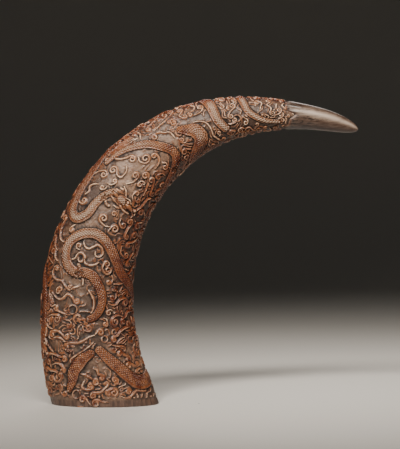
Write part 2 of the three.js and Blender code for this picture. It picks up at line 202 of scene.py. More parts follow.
# Rings round a bare disc: a place, and the radius of the ring's middle.
RINGS = (
    (74, -22, 3.2), (106, 15, 4.6), (25, 24, 4.0), (377, -6, 5.4), (116, 58, 3.0), (70, 210, 5.0), (150,
    176, 5.0), (214, 204, 5.0), (262, 172, 5.0), (350, 190, 4.0), (100, 220, 4.5), (40, 150, 5.0), (300,
    210, 4.0),
)

# Manes and flames: strands lying side by side along a line, and how far apart they are.
MANES = (
    (6, 2.4, ((92, 48), (104, 50), (122, 58))),
    (5, 2.2, ((252, 60), (266, 54), (282, 46))),
    (4, 2.2, ((58, -34), (66, -42), (70, -54))),
    (5, 2.2, ((40, 240), (30, 232), (22, 222))),
    (5, 2.2, ((150, 214), (142, 208), (132, 206))),
    (4, 2.0, ((340, 150), (334, 160), (326, 166))),
    (4, 2.0, ((222, 176), (214, 168), (204, 166))),
    (4, 2.0, ((110, 150), (100, 148), (90, 152))),
)

# Small clouds crowd into what is left, from an even scatter, the largest first. Each stage is
# how many places are tried, the curl's radius, half the length of its line, and its width.
FILLS = ((1600, 4.4, 8.0, 3.2), (2600, 3.4, 6.0, 2.8), (3600, 2.6, 4.0, 2.4))
FILL_GAP = 0.2

# The even scatter: one over the plastic number, and over its square. The golden turn is in radians.
SCATTER_ALONG = 0.7548776662
SCATTER_ROUND = 0.5698402910
GOLDEN_TURN = 2.39996

# The crests that cover the rest of the field: how large their bends are, how far apart the noise's
# levels are at which they stand, their half width and their height.
CREST_GAP = 8.5
CREST_STEP = 0.17
CREST_WIDTH = 0.85
CREST_HEIGHT = 1.35

# Where the horn is held and rubbed: millimetres along and how far that reaches, degrees round and
# how far that reaches, and how strongly it is rubbed. In front, the paleness there is partly wear
# and partly painted light: the front is painted paler as if lit.
HELD_IN_FRONT = (215, 85, 22, 45, 1.0)
HELD_BEHIND = (190, 110, 180, 50, 0.6)

# Places that the carver left calm: a place and the radius of bare field round it.
CALM = (
    (116, -7, 5.5), (160, 2, 4.5), (172, 6, 4.5), (214, 2, 5), (247, 3, 5), (250, 38, 3.5), (220, 34, 4),
    (263, 2, 4), (278, 4, 6), (340, 20, 5), (306, 8, 4), (286, -8, 3), (136, 42, 4), (108, 32, 4), (78, 4,
    4), (66, 12, 4), (188, 10, 4), (48, 4, 4), (396, 16, 4), (408, -8, 3), (60, 208, 6), (214, 190, 5),
    (260, 150, 5), (318, 230, 5), (130, 236, 6),
)


def linear(code):
    """The linear colour of an sRGB hex code: c/12.92 up to 0.04045, ((c + 0.055)/1.055)^2.4 above it."""
    channels = [int(code[i:i + 2], 16) / 255 for i in (0, 2, 4)]
    return tuple(c / 12.92 if c <= 0.04045 else ((c + 0.055) / 1.055) ** 2.4 for c in channels)


def smooth(x, low, high):
    """0 below low, 1 above high, and 3u^2 - 2u^3 between them, where u is how far x is between the two."""
    u = np.clip((x - low) / (high - low), 0, 1)
    return u * u * (3 - 2 * u)


def bell(x, middle, spread):
    """e^(-((x - middle)/spread)^2)."""
    return np.exp(-(((x - middle) / spread) ** 2))


def cubic(table, at):
    """A cubic through the table's rows, whose slope at a row is rise over run between the rows beside it."""
    x, y = np.array(table, float).T
    before = np.maximum(np.arange(len(x)) - 1, 0)
    after = np.minimum(np.arange(len(x)) + 1, len(x) - 1)
    slope = (y[after] - y[before]) / (x[after] - x[before])
    at = np.clip(at, x[0], x[-1])
    i = np.clip(np.searchsorted(x, at, side="right") - 1, 0, len(x) - 2)
    step = x[i + 1] - x[i]
    u = (at - x[i]) / step
    return ((2 * u**3 - 3 * u**2 + 1) * y[i] + (u**3 - 2 * u**2 + u) * step * slope[i]
            + (3 * u**2 - 2 * u**3) * y[i + 1] + (u**3 - u**2) * step * slope[i + 1])


def walk_centreline():
    """The centreline, from 0.2 below the mouth to the tip.

    It is the running sum of steps of 1/2000 of the length, each taken the way HEADING says, moved so that 0
    is at START.
    """
    t = np.linspace(-0.2, 1, 2401)
    heading = np.radians(cubic(HEADING, (t[1:] + t[:-1]) / 2))
    stride = LENGTH * (t[1] - t[0])
    x = np.concatenate(([0], np.cumsum(np.cos(heading)))) * stride
    z = np.concatenate(([0], np.cumsum(np.sin(heading)))) * stride
    return t, START[0] + x - np.interp(0, t, x), START[1] + z - np.interp(0, t, z)


CENTRE_T, CENTRE_X, CENTRE_Z = walk_centreline()


def half_width(t):
    """Half the width in the bend's plane: the table's value times sqrt(1 - t^30), to round off the tip."""
    return cubic(HALF_WIDTH, t) * np.sqrt(np.clip(1 - np.clip(t, 0, 1) ** TIP_BLUNTNESS, 0, 1))


def depth_share(t):
    """Half depth over half width: evenly from 0.7 at the mouth to 0.96 where the horn becomes round."""
    return DEPTH_AT_MOUTH + (DEPTH_AT_TIP - DEPTH_AT_MOUTH) * np.clip(t / ROUND_FROM, 0, 1)


def ring(t, angle, wide, deep):
    """A point of an oval round the centreline: wide*sin(angle) in its plane, -deep*cos(angle) across."""
    heading = np.radians(cubic(HEADING, t))
    out = wide * np.sin(angle)
    x = np.interp(t, CENTRE_T, CENTRE_X) - out * np.sin(heading)
    z = np.interp(t, CENTRE_T, CENTRE_Z) + out * np.cos(heading)
    return np.stack(np.broadcast_arrays(x, -deep * np.cos(angle), z), -1)


def fineness(along):
    """How large small carving is at a place: the root of the half width over the one it is drawn for."""
    return float(np.sqrt(half_width(np.asarray(along) / LENGTH) / DRAWN_FOR))


def horn_skin(t, angle, lift=0.0):
    """The horn's own surface at t and angle, moved out by lift."""
    wide = half_width(t)
    return ring(t, angle, np.maximum(wide + lift, 0), np.maximum(wide * depth_share(t) + lift, 0))


def hollow_skin(t, angle, wall):
    """The inside: the oval less the wall, times sqrt(1 - (t/end)^2.2), which closes it in a dome."""
    dome = np.sqrt(np.clip(1 - np.clip(t / HOLLOW_TO, 0, 1) ** 2.2, 0, 1))
    wide = half_width(t)
    return ring(t, angle, (wide - wall) * dome, (wide * depth_share(t) - wall) * dome)


def where_it_meets_the_ground(angle, surface):
    """For each angle, the t at which the surface meets z = 0, between two of 400 samples in proportion."""
    t = np.linspace(-0.15, 0.15, 400)
    z = surface(t[:, None], angle[None, :])[..., 2]
    above = np.argmax(z > 0, axis=0)
    low = np.take_along_axis(z, above[None] - 1, 0)[0]
    high = np.take_along_axis(z, above[None], 0)[0]
    return t[above - 1] + (t[1] - t[0]) * (0 - low) / (high - low)


def blur(field, rows, columns):
    """The mean of a box of 2*rows+1 by 2*columns+1 cells, taken twice, on a field that closes sideways."""
    for _ in range(2):
        tall = np.pad(field, ((rows + 1, rows), (0, 0)), mode="edge")
        total = np.cumsum(tall, axis=0)
        field = (total[2 * rows + 1:] - total[:-2 * rows - 1]) / (2 * rows + 1)
        broad = np.pad(field, ((0, 0), (columns + 1, columns)), mode="wrap")
        total = np.cumsum(broad, axis=1)
        field = (total[:, 2 * columns + 1:] - total[:, :-2 * columns - 1]) / (2 * columns + 1)
    return field


def rough(points, gap, seed):
    """Value noise: a random number at each corner of cubes a gap wide, blended between by 3u^2 - 2u^3."""
    size = 64
    numbers = np.random.default_rng(seed).random((size, size, size))
    at = points / gap
    base = np.floor(at).astype(int)
    u = at - base
    u = u * u * (3 - 2 * u)
    total = np.zeros(points.shape[:-1])
    for corner in np.ndindex(2, 2, 2):
        weight = np.prod(np.where(np.array(corner) == 1, u, 1 - u), axis=-1)
        i, j, k = np.moveaxis((base + corner) % size, -1, 0)
        total += weight * numbers[i, j, k]
    return total


def spline(places, per_span=10):
    """A Catmull-Rom curve: cubics whose slope at a place is half the gap between the places beside it."""
    p = np.array(places, float)
    p = np.vstack((2 * p[0] - p[1], p, 2 * p[-1] - p[-2]))
    u = np.linspace(0, 1, per_span, endpoint=False)[:, None, None]
    a, b, c, d = p[None, :-3], p[None, 1:-2], p[None, 2:-1], p[None, 3:]
    spans = 0.5 * (2 * b + (c - a) * u + (2 * a - 5 * b + 4 * c - d) * u**2 + (3 * b - a - 3 * c + d) * u**3)
    return np.vstack((spans.transpose(1, 0, 2).reshape(-1, 2), p[-2]))


class Relief:
    """The carving, as heights in millimetres above the cut-back field, on a grid of the horn's skin."""

    def __init__(self, size):
        self.depth = size.relief_depth / MM
        self.pitch = size.scale_pitch / MM
        self.columns = size.columns
        self.angle = np.radians(np.arange(self.columns) * 360 / self.columns)
        body = np.linspace(0, EVEN_TO, size.rows)
        crowding = np.linspace(0, LAST_ROW, TIP_ROWS + 1)[1:]
        self.share = np.concatenate((body, 1 - (1 - EVEN_TO) * (1 - crowding) ** 2))
        self.foot = where_it_meets_the_ground(self.angle, lambda t, a: horn_skin(t, a, -self.depth))
        self.t = self.foot[None, :] + (1 - self.foot[None, :]) * self.share[:, None]
        self.along = self.t * LENGTH
        self.around = (np.degrees(self.angle) + 180)[None, :] % 360 - 180
        self.skin = horn_skin(self.t, self.angle[None, :], -self.depth / 2)
        self.row_gap = LENGTH * (body[1] - body[0])
        onward = np.gradient(self.skin, axis=0)
        self.per_mm = np.linalg.norm(onward, axis=-1) / (np.gradient(self.t, axis=0) * LENGTH)
        turned = np.roll(self.skin, -1, axis=1) - np.roll(self.skin, 1, axis=1)
        self.per_degree = np.linalg.norm(turned, axis=-1) * self.columns / 720
        ends = np.interp(np.degrees(self.angle), *np.array(CARVING_ENDS).T, period=360)
        self.past_end = self.along - ends[None, :]
        plain = self.depth - TIP_STEP + TIP_STEP * smooth(self.past_end, 10, 60)
        self.height = plain * smooth(self.past_end, -1, 2.5)
        self.floor = self.height.copy()
        self.scaled = np.zeros(self.t.shape)
        self.belly = np.zeros(self.t.shape)
        self.lie = np.zeros(self.t.shape + (2,))
        self.held = np.clip(self.rubbed(*HELD_IN_FRONT) + self.rubbed(*HELD_BEHIND), 0, 1)
        self.taken = (self.skin[..., 2] < FOOT_BAND) | (self.past_end > -2)

    def rubbed(self, along, far, around, wide, strength):
        """A bell along the horn times a bell round it, times its strength."""
        turned = np.abs(self.around) if around == 180 else self.around
        return strength * bell(self.along, along, far) * bell(turned, around, wide)

    def measure(self, along, around):
        """A place's point on the skin and the unit vector out of it, by steps of 0.2 mm and 0.2 degrees."""
        t, a = along / LENGTH, np.radians(around)
        here = horn_skin(t, a, -self.depth / 2)
        onward = horn_skin(t + 0.2 / LENGTH, a, -self.depth / 2) - here
        sideways = horn_skin(t, a + np.radians(0.2), -self.depth / 2) - here
        out = np.cross(onward, sideways)
        return here, out / np.linalg.norm(out, axis=-1)[..., None]

    def cell(self, along, around):
        """The row and column of the grid's nearest point to a place."""
        column = np.round(np.asarray(around) * self.columns / 360).astype(int) % self.columns
        foot = self.foot[column]
        row = np.searchsorted(self.share, (np.asarray(along) / LENGTH - foot) / (1 - foot))
        return np.clip(row, 0, len(self.share) - 1), column

    def stretch(self, along, around):
        """Millimetres over the skin to one millimetre along the centreline, and to one degree round it."""
        cell = self.cell(along, around)
        return self.per_mm[cell], self.per_degree[cell]

    def shift(self, along, around, forward, aside):
        """The place that lies forward and aside of another, in millimetres on the flat that touches it."""
        per_mm, per_degree = self.stretch(along, around)
        return along + forward / per_mm, around + aside / per_degree

    def drawing(self, along, around, way, size, tall=1):
        """A function from millimetres on a drawing, x the way that is given and y to its left, to places."""
        turn = math.radians(way)

        def place(x, y):
            y = y * tall
            forward = size * (x * math.cos(turn) - y * math.sin(turn))
            aside = size * (x * math.sin(turn) + y * math.cos(turn))
            return self.shift(along, around, forward, aside)

        return place

    def evenly(self, places, gap):
        """The same line with its places a gap apart, measured over the skin, and how far along it each is."""
        line = np.array(places, float)
        points = horn_skin(line[:, 0] / LENGTH, np.radians(line[:, 1]))
        run = np.concatenate(([0], np.cumsum(np.linalg.norm(np.diff(points, axis=0), axis=1))))
        wanted = np.linspace(0, run[-1], max(int(run[-1] / gap), 2) + 1)
        return np.stack([np.interp(wanted, run, line[:, k]) for k in (0, 1)], -1), wanted

    def follow(self, places, reach):
        """For the points near a line: their rows, how far along and across it they lie, and how far from it.

        Each point goes by the nearest of the line's places: along is that place's distance plus the
        offset's part along the line, and across is the offset's part to the line's left. The line's length
        comes last.
        """
        line, run = self.evenly(places, LINE_STEP)
        here, out = self.measure(line[:, 0], line[:, 1])
        _, per_degree = self.stretch(line[:, 0], line[:, 1])
        ahead = np.gradient(here, axis=0)
        ahead /= np.linalg.norm(ahead, axis=1)[:, None]
        left = np.cross(out, ahead)
        foot = np.interp(line[:, 1], np.degrees(self.angle), self.foot, period=360)
        share = (line[:, 0] / LENGTH - foot) / (1 - foot)
        row = np.searchsorted(self.share, share)
        column = np.round(line[:, 1] * self.columns / 360).astype(int)
        tall = int(reach / self.row_gap * 1.35) + 2
        broad = (reach / (per_degree * 360 / self.columns) * 1.35).astype(int) + 2
        broad = np.minimum(broad, self.columns // 2 - 1)
        first, last = max(row.min() - tall, 0), min(row.max() + tall + 1, len(self.share))
        best = np.full((last - first, self.columns), 1e9)
        along, across = np.zeros_like(best), np.zeros_like(best)
        for k in range(len(line)):
            rows = np.arange(max(row[k] - tall, 0), min(row[k] + tall + 1, len(self.share)))
            cols = np.arange(column[k] - broad[k], column[k] + broad[k] + 1) % self.columns
            offset = self.skin[rows[0]:rows[-1] + 1][:, cols] - here[k]
            forward, aside = offset @ ahead[k], offset @ left[k]
            far = aside**2 + forward**2 + 0.25 * (offset @ out[k]) ** 2
            window = np.ix_(rows - first, cols)
            closer = far < best[window]
            best[window] = np.where(closer, far, best[window])
            along[window] = np.where(closer, run[k] + forward, along[window])
            across[window] = np.where(closer, aside, across[window])
        past = np.maximum(np.maximum(-along, along - run[-1]), 0)
        distance = np.where(best < 1e8, np.sqrt(across**2 + past**2), 1e9)
        return slice(first, last), along, across, distance, run[-1]

    def strand(self, places, width, height, taper=(1, 1), clear=0.3, belly=0, flat=0.5, lean=0.0, moat=0.9):
        """Raises a rounded strand along a line: height*(1 - q^2)^flat, where q is distance over half width.

        Its half width follows the taper, swells and shrinks by 14% as a sine of the way along where it has
        no scales, and rounds off at its ends. Round it, what was there is cut back to the field over the
        moat. A lean lowers its right side to a ledge, or its left where it is negative. What lies closer to
        it than clear is taken, for later work.
        """
        rows, along, across, distance, total = self.follow(places, width / 2 * max(taper) + moat + clear)
        half = width / 2 * np.interp(along / total, np.linspace(0, 1, len(taper)), taper)
        half *= 1 + (0 if belly else 0.14) * np.sin(1.1 * along + total)
        half *= np.sqrt(np.clip(1 - (np.clip(-along, 0, None) / np.maximum(half, 0.1)) ** 2, 0.05, 1))
        q = distance / half
        edge = distance - half
        side = across / half
        ledge = abs(lean) * smooth(-side * np.sign(lean), -0.2, 0.3)
        top = height * np.clip(1 - q**2, 0, 1) ** flat * (1 - ledge)
        plates = np.zeros_like(top)
        if belly:
            plates = smooth(side * belly, 0.54, 0.64)
            top += self.scales(along, across, side * belly, q, plates)
        old = self.height[rows]
        floor = self.floor[rows]
        bank = floor + (old - floor) * smooth(edge, 0, moat)
        raised = np.where(edge < 0, np.maximum(np.maximum(top, floor * 0.6), 0.02), bank)
        near = edge < moat
        self.height[rows] = np.where(near, raised, old)
        inner = smooth(-edge, -0.1, 0.6)
        for mark, value in ((self.scaled, 1.0 if belly else 0.0), (self.belly, plates)):
            mark[rows] = np.where(near, mark[rows] * (1 - inner) + value * inner, mark[rows])
        if belly:
            close = edge < moat + 0.5
            for axis, value in enumerate((along, across)):
                self.lie[rows, :, axis] = np.where(close, value, self.lie[rows, :, axis])
        self.taken[rows] |= edge < clear

    def scales(self, along, across, side, q, plates):
        """What a dragon's scales and belly plates add to its back, q of the way from its middle to its edge.

        Pits |sin(pi u)*sin(pi v)|^1.5 on a grid turned by 45 degrees set the scales apart. On the belly's
        side are plates, |sin|^0.6 of the way along, past a groove, and a rim runs down both edges.
        """
        u = (along + across) / (1.414 * self.pitch)
        v = (along - across) / (1.414 * self.pitch)
        pits = np.abs(np.sin(np.pi * u) * np.sin(np.pi * v)) ** 1.5
        rungs = np.abs(np.sin(np.pi * along / (0.9 * self.pitch))) ** 0.6
        groove = bell(side, 0.56, 0.07)
        rim = smooth(q, 0.74, 0.84) - smooth(q, 0.9, 1.0)
        inside = smooth(1 - q, 0.14, 0.2)
        cuts = 0.5 * pits * (1 - plates) + (0.65 - 0.4 * rungs) * plates + 0.5 * groove
        return 0.45 * rim - inside * cuts

    def dot(self, along, around):
        """The shortest line that can be followed, for what is round."""
        return (along - LINE_STEP / 2, around), (along + LINE_STEP / 2, around)

    def knob(self, place, radius, height):
        """Raises a round boss: height*sqrt(1 - q^2)."""
        self.strand(self.dot(*place), 2 * radius, height)

    def keep_bare(self, along, around, radius):
        """Takes a round place, so that nothing is carved there later."""
        rows, _, _, distance, _ = self.follow(self.dot(along, around), radius)
        self.taken[rows] |= distance < radius

    def is_free(self, places, clear):
        """True where no place of the line, and none a clearance to any side of it, is on a taken cell."""
        line = np.asarray(places, float)
        per_mm, per_degree = self.stretch(line[:, 0], line[:, 1])
        for forward, aside in ((0, 0), (clear, 0), (-clear, 0), (0, clear), (0, -clear)):
            cell = self.cell(line[:, 0] + forward / per_mm, line[:, 1] + aside / per_degree)
            if self.taken[cell].any():
                return False
        return True

    def with_curls(self, places, first, last):
        """The line with a spiral let into each end, which shrinks to about a quarter over 1.3 turns."""
        line = [tuple(p) for p in places]
        for end, radius in (("last", last), ("first", first)):
            if not radius:
                continue
            if end == "first":
                line.reverse()
            (s0, a0), (s1, a1) = line[-2], line[-1]
            per_mm, per_degree = self.stretch(s1, a1)
            way = math.atan2((a1 - a0) * per_degree, (s1 - s0) * per_mm)
            hand = math.copysign(1, radius)
            s, a = self.shift(s1, a1, -radius * math.sin(way), radius * math.cos(way))
            turn = np.linspace(0, 1, 22)[1:]
            reach = abs(radius) * (1 - 0.74 * turn)
            swing = way - hand * math.pi / 2 + hand * turn * 2 * math.pi * 1.3
            line += list(zip(s + reach * np.cos(swing) / per_mm, a + reach * np.sin(swing) / per_degree))
            if end == "first":
                line.reverse()
        return line

    def wisp(self, places, first, last):
        """A cloud: a rounded line with a ledge along it, thinner to its ends, and with a curl at either."""
        fine = fineness(places[0][0])
        line = self.with_curls(spline(places), first, last)
        taper = (0.6 if first else 0.4, 0.85, 1, 1, 0.85, 0.6 if last else 0.4)
        lean = 0.4 if last >= 0 else -0.4
        self.strand(line, 3.8 * fine, 1.9, taper=taper, lean=lean, flat=0.9, moat=0.8)

    def ring(self, along, around, radius):
        """A round line, raised about a bare disc."""
        radius = radius * fineness(along)
        turn = np.linspace(0, 2 * np.pi, 26)
        line = np.stack(self.shift(along, around, radius * np.cos(turn), radius * np.sin(turn)), -1)
        self.strand(line, 1.7, 1.3, moat=0.6)
        self.keep_bare(along, around, radius)

    def mane(self, count, gap, places):
        """Strands side by side, a gap apart at their middle and closing to half of it at their ends.

        Each wavers by half a millimetre, as a sine of the way along, and they start and stop by turns.
        """
        middle = spline(places)
        per_mm, per_degree = self.stretch(middle[:, 0], middle[:, 1])
        way = np.gradient(middle, axis=0) * np.stack((per_mm, per_degree), -1)
        way /= np.linalg.norm(way, axis=1)[:, None]
        spread = 0.5 + 0.5 * np.sin(np.linspace(0.15, math.pi - 0.5, len(middle)))
        for k in range(count):
            off = (k - (count - 1) / 2) * gap * spread + 0.5 * np.sin(np.linspace(0, 6, len(middle)) + k)
            aside = np.stack((-way[:, 1] * off / per_mm, way[:, 0] * off / per_degree), -1)
            line = (middle + aside)[2 * (k % 2):len(middle) - 2 * ((k + 1) % 2)]
            self.strand(line, gap * 0.95, 1.5, taper=(0.5, 1, 1, 0.35), moat=0.3)

    def head(self, along, around, looks, size, jaw):
        """A dragon's head, drawn in millimetres: x runs from its neck to its nose, and y to its brow."""
        place = self.drawing(along, around, looks, size, jaw)

        def lock(places, width, height, taper, **more):
            self.strand(spline([place(x, y) for x, y in places]), width * size, height, taper=taper, **more)

        # Four locks of mane, the beard and the horn.
        for x, y in ((-15, 7), (-17, 2.5), (-17, -2.5), (-14, -7)):
            lock(((-3, y * 0.5), (-9, y * 0.9 + 1.2), (x, y * 0.8)), 4.4, 1.8, (1, 1, 0.4), moat=0.3)
        lock(((1, -4.5), (-1.5, -7.5), (-6, -9)), 3.0, 1.6, (1, 0.9, 0.5), moat=0.4)
        lock(((-4, 4), (-9, 8), (-14, 9)), 2.8, 2.2, (1, 0.9, 0.4))
        # The skull, the lower jaw, the snout and its nostril.
        lock(((-7, -0.5), (-2, 0.5), (3, 1)), 10.5, 2.5, (0.85, 1, 0.8), belly=-1)
        lock(((-2, -4.4), (4, -5.2), (9.5, -3.8)), 2.7, 1.9, (1, 1, 0.8))
        lock(((2, 1.4), (7, 1.2), (12, 1.8)), 5, 2.5, (1, 0.9, 0.7), flat=0.4)
        self.knob(place(12.5, 3.2), 1.9 * size, 2.7)
        # The brow, the eye and the whisker.
        lock(((-3.5, 4.6), (0.5, 5.8), (4.5, 4.6)), 2.0, 2.8, (0.6, 1, 0.6))
        self.knob(place(1.2, 3.0), 1.7 * size, 2.8)
        lock(((12, 0.2), (15, -1.5), (15, -5)), 1.8, 1.5, (1, 0.8, 0.5))

    def claw(self, along, around, way, size):
        """A leg 10 mm long with four talons that fan out of its end, each 6 mm long."""
        place = self.drawing(along, around, way, size)
        leg = spline([place(0, 0), place(5, 1.5), place(10, 0)])
        self.strand(leg, 4.2 * size, 2.0, taper=(1, 1, 0.8), belly=1)
        for spread in (-70, -25, 20, 70):
            lean = math.radians(spread)
            bend = place(10 + 3.6 * math.cos(lean), 3.6 * math.sin(lean) + 0.8)
            tip = place(10 + 6 * math.cos(lean), 6.5 * math.sin(lean))
            talon = spline([place(10, 0), bend, tip])
            self.strand(talon, 1.9 * size, 1.7, taper=(1, 0.9, 0.25), moat=0.5)

    def fill(self):
        """Small clouds wherever there is room, from an even scatter by the plastic number, the largest first.

        Each is a line 2*reach long with a bend of 0.8 in its middle and a curl at one end or both.
        """
        carved = CARVING_ENDS[0][1] - 8
        for stage, (tries, radius, far, width) in enumerate(FILLS):
            for k in range(tries):
                along = 6 + carved * ((k * SCATTER_ALONG + 0.37 * stage) % 1)
                around = 360 * ((k * SCATTER_ROUND + 0.61 * stage) % 1)
                if along < FOOT_BAND + 4.5 or self.taken[self.cell(along, around)]:
                    continue
                hand = 1 if k % 3 else -1
                fine = fineness(along)
                reach = far * fine * (1 + 0.35 * math.sin(k * 1.7))
                wide = width * fine
                curl = hand * radius * fine
                for way in (k * GOLDEN_TURN, k * GOLDEN_TURN + 1.6):
                    on = way + 0.8 * hand
                    first = self.shift(along, around, -reach * math.cos(way), -reach * math.sin(way))
                    last = self.shift(along, around, reach * math.cos(on), reach * math.sin(on))
                    bent = spline([first, (along, around), last], 5)
                    line = self.with_curls(bent, -0.75 * curl if k % 2 else 0, curl)
                    if self.is_free(line, wide / 2 + FILL_GAP):
                        high = 1.5 + 0.5 * math.sin(k) ** 2
                        taper = (0.5, 0.9, 1.05, 0.9, 0.6)
                        self.strand(line, wide, high, taper=taper, clear=0.2, flat=0.9, moat=0.6)
                        break

    def crests(self):
        """Fine winding crests over what is left of the field, as lines of equal height on a map.

        They stand where bent noise passes through levels a step apart, and their profile is (1 -
        d/width)^0.7, where d is the distance from the level over the noise's slope.
        """
        bend = np.stack([rough(self.skin, CREST_GAP, seed) for seed in (1, 2, 3)], -1) - 0.5
        winding = rough(self.skin + 8 * bend, CREST_GAP, 4)
        row_length = np.linalg.norm(np.gradient(self.skin, axis=0), axis=-1).clip(0.05)
        rise_along = np.gradient(winding, axis=0) / row_length
        turned = (np.roll(winding, -1, axis=1) - np.roll(winding, 1, axis=1)) * self.columns / 720
        slope = np.hypot(rise_along, turned / self.per_degree.clip(0.01)).clip(0.02)
        from_level = CREST_STEP * np.abs((winding / CREST_STEP + 0.5) % 1 - 0.5)
        crest = np.clip(1 - from_level / slope / CREST_WIDTH, 0, 1) ** 0.7
        patchy = smooth(rough(self.skin, 9, 6), 0.15, 0.5)
        top = (CREST_HEIGHT * crest * patchy + 0.35 * rough(self.skin, 3.0, 5)) * (1 - 0.75 * self.held)
        room = smooth(blur(1.0 - self.taken, 1, 1), 0.3, 0.8)
        self.height = np.maximum(self.height, top * room)
        grit = 0.25 * (rough(self.skin, 1.8, 7) - 0.5)
        self.height += grit * (1 - self.scaled) * (self.past_end < 0)

    def carve(self):
        """Paints everything, from what lies lowest to what lies highest."""
        for row in MANES:
            self.mane(*row)
        for row in RINGS:
            self.ring(*row)
        for row in WISPS:
            self.wisp(*row)
        for width, belly, taper, places in BODIES:
            back = self.depth + 0.1
            self.strand(spline(places), width, back, taper=taper, belly=belly, flat=0.42, clear=0.7, moat=1.3)
        for row in CLAWS:
            self.claw(*row)
        for row in HEADS:
            self.head(*row)
        for row in CALM:
            self.keep_bare(*row)
        self.fill()
        self.crests()


def grid_faces(rows, columns, first=0):
    """The triangles of a grid that closes across its columns: two to each cell, facing out of the horn."""
    i, j = np.meshgrid(np.arange(rows - 1), np.arange(columns), indexing="ij")
    a = first + i * columns + j
    b = first + i * columns + (j + 1) % columns
    halves = ((a, a + columns, b), (b, a + columns, b + columns))
    return np.concatenate([np.stack(half, -1).reshape(-1, 3) for half in halves])


def fan_faces(start, columns, pole):
    """A fan from one row to a single point."""
    j = np.arange(columns)
    return np.stack((start + j, np.full(columns, pole), start + (j + 1) % columns), -1)


def horn_faces(rows, columns):
    """The carved skin, the hollow's lining, the cut rim between them, and the fans that close their ends."""
    outer, inner = rows * columns, HOLLOW_ROWS * columns
    j = np.arange(columns)
    k = (j + 1) % columns
    return np.concatenate((
        grid_faces(rows, columns),
        grid_faces(HOLLOW_ROWS, columns, outer)[:, ::-1],
        np.stack((j, k, outer + j), -1),
        np.stack((k, outer + k, outer + j), -1),
        fan_faces(outer - columns, columns, outer + inner),
        fan_faces(outer + inner - columns, columns, outer + inner + 1)[:, ::-1],
    ))


def cuts_and_crests(height):
    """How deep in a cut each point lies and how proud it stands, from its height less the mean round it."""
    calm, broad, wide = (blur(height, cells, cells) for cells in (2, 3, 5))
    near = np.clip((broad - height - 0.1) / 0.6, 0, 1)
    # far reaches out beside tall relief, where the colour is darkened as painted shade.
    far = np.clip((wide - height - 0.25) / 0.7, 0, 1)
    return np.clip(near + 0.55 * far, 0, 1), np.clip((height - calm) / 1.1, 0, 1)


def wear_and_painted_light(relief):
    """What use has done, and where light and shade are painted, by how far a point lies along the horn,
    round it and past the carving.

    It is rubbed where it is held in the middle. There, and over the front and top of the upper part, it
    is also painted paler as if lit, and a painted highlight lies in a band along the tip. Painted shade
    darkens and reddens the sides and the tip's underside. It is sooty over the foot.
    """
    along, around, past = relief.along, relief.around, relief.past_end
    # Painted light: the front of the upper part is painted paler as if lit, and the bell on the tip is a
    # painted highlight band along its upper side.
    upper = smooth(along, 290, 370) * smooth(62 - np.abs(around - 10), 0, 30)
    tip_highlight = bell(around, 21, 17) * smooth(past, 0, 14)
    # Painted shade: the sides and the tip's underside are painted darker.
    sides = smooth(np.abs(around - 12), 25, 62) * smooth(along, 30, 100)
    sides = sides * (1 - 0.8 * smooth(along, 290, 360) * (around < 12))
    sides = 0.8 * sides * (1 - 0.5 * smooth(np.abs(around), 130, 170))
    return {
        "handled": np.where(past > 0, tip_highlight, np.maximum(relief.held, 0.9 * upper)),
        "shaded": np.maximum(sides, smooth(past, 0, 8) * smooth(-around, -10, 60)),
        "sooty": bell(along, 92, 38) * bell(around, 10, 22),
        "reach": np.clip(past / 45, 0, 1),
        "plain": smooth(past, -0.5, 2.0),
    }


def outer_skin(relief):
    """The skin moved out by the relief, less a rounding at the ground, and by nothing at the tip's end."""
    angle = relief.angle[None, :]
    lift = relief.height - relief.depth
    above = horn_skin(relief.t, angle, lift)[..., 2]
    lift -= 0.9 * np.clip(1 - above / 1.2, 0, 1) ** 2
    lift *= np.clip(half_width(relief.t) / 6, 0, 1)
    skin = horn_skin(relief.t, angle, lift)
    skin[0, :, 2] = 0
    skin[..., 2] = np.maximum(skin[..., 2], 0)
    return skin


